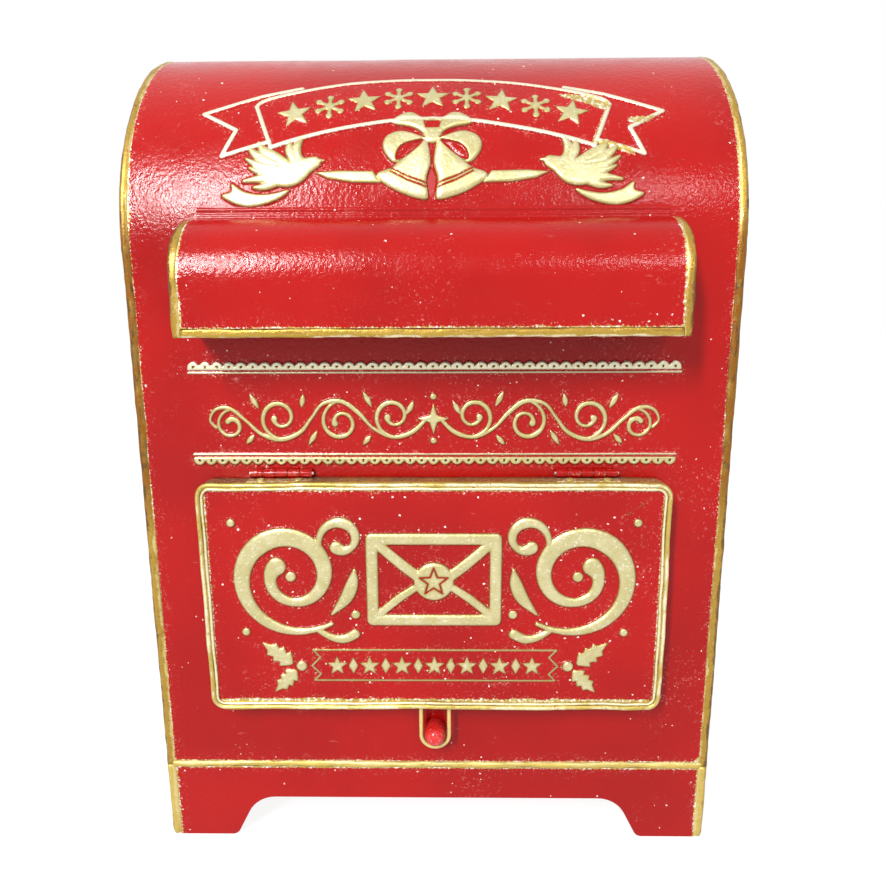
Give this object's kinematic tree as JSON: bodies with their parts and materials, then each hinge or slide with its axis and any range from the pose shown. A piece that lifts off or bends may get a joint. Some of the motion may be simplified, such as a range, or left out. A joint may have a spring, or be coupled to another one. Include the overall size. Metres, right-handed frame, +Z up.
{
  "type": "tin money box",
  "caption": "Letter-box-shaped tin money box with a rounded roof, a hooded slot in front, a lift-up emptying door with a wire latch loop, and a skirt with bracket feet.",
  "frame": {"origin": "on the floor, under the middle of the bounding box", "axes": "+X to the right as the box is seen from the front, front faces -Y, +Z up"},
  "size_m": [0.25, 0.217, 0.364],
  "materials": {
    "embossed_red_sheet": "gloss red enamel on embossed tin, with the raised ornament brushed in pale gold",
    "red_sheet": "gloss red enamel with a fine orange peel",
    "gold_edge": "gold paint, brushed on by hand over rolled edges",
    "red_knob": "gloss red enamel",
    "plain_steel": "plain"
  },
  "bodies": {
    "case": {"front_and_roof_sheet": "embossed_red_sheet", "back_panel": "red_sheet", "left_side_panel": "red_sheet", "right_side_panel": "red_sheet", "left_side_seam": "gold_edge", "right_side_seam": "gold_edge", "floor_pan": "red_sheet", "base_bead": "gold_edge", "front_skirt": "red_sheet", "back_skirt": "red_sheet", "left_skirt": "red_sheet", "right_skirt": "red_sheet", "skirt_corner_seams": "gold_edge", "hood_sheet": "red_sheet", "hood_left_end": "red_sheet", "hood_right_end": "red_sheet", "hood_left_seam": "gold_edge", "hood_right_seam": "gold_edge", "hood_lip_hem": "gold_edge", "knob": "red_knob", "knob_washer": "plain_steel", "knob_nut": "plain_steel", "left_hinge_case_leaf": "red_sheet", "right_hinge_case_leaf": "red_sheet", "left_hinge_pin": "plain_steel", "right_hinge_pin": "plain_steel"},
    "door": {"door_frame": "gold_edge", "door_panel": "embossed_red_sheet", "left_hinge_door_leaf": "gold_edge", "right_hinge_door_leaf": "gold_edge", "hinge_rivets": "gold_edge", "latch_loop": "gold_edge"}
  },
  "joints": [
    {"name": "door_hinge", "type": "hinge", "parent": "case", "child": "door", "pos_m": [0, -0.0849, 0.1762], "axis": [-1, 0, 0], "range_deg": [0, 110]}
  ]
}
